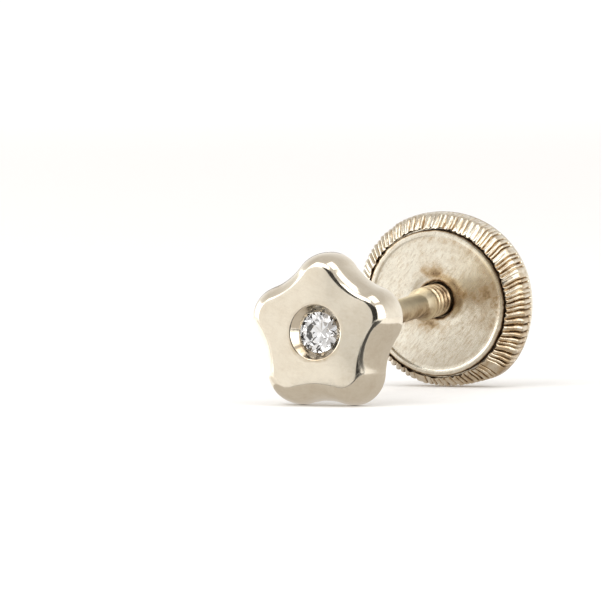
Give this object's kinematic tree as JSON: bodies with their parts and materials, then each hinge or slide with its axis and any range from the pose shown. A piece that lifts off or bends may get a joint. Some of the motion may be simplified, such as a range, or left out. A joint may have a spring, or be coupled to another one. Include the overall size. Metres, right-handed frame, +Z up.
{
  "type": "screw back stud earring",
  "caption": "Small flower stud earring with a sunken round stone, a threaded post and a ribbed disc that screws on behind the ear lobe.",
  "frame": {"origin": "on the surface that the earring lies on, under the middle of its bounding box", "axes": "+Z up; +Y from the flower to the screw back, along the post seen from above; +X to the right seen from the flower's face. The post rises towards the screw back by 4.3 degrees."},
  "size_m": [0.006, 0.0112, 0.006],
  "materials": {
    "flower_gold": "polished pale gold",
    "clear_stone": "cut and polished, clear",
    "plate_gold": "polished pale gold with fine scratches",
    "rim_gold": "polished pale gold, coined ribs"
  },
  "bodies": {
    "stud": {"flower_post": "flower_gold", "stone": "clear_stone"},
    "bush": {"back_bush": "rim_gold"},
    "disc": {"back_plate": "plate_gold", "back_cup": "rim_gold"}
  },
  "joints": [
    {"name": "nut_travel", "type": "slide", "parent": "stud", "child": "bush", "axis": [0, 0.9972, 0.0751], "range_m": [-0.00028, 0.00056]},
    {"name": "nut_turn", "type": "hinge", "parent": "bush", "child": "disc", "pos_m": [0, 0.00421, 0.00295], "axis": [0, 0.9972, 0.0751], "range_deg": [-360, 720]}
  ],
  "couplings": [
    {"joint": "nut_turn", "follows": "nut_travel", "rad_per_m": 22440}
  ]
}
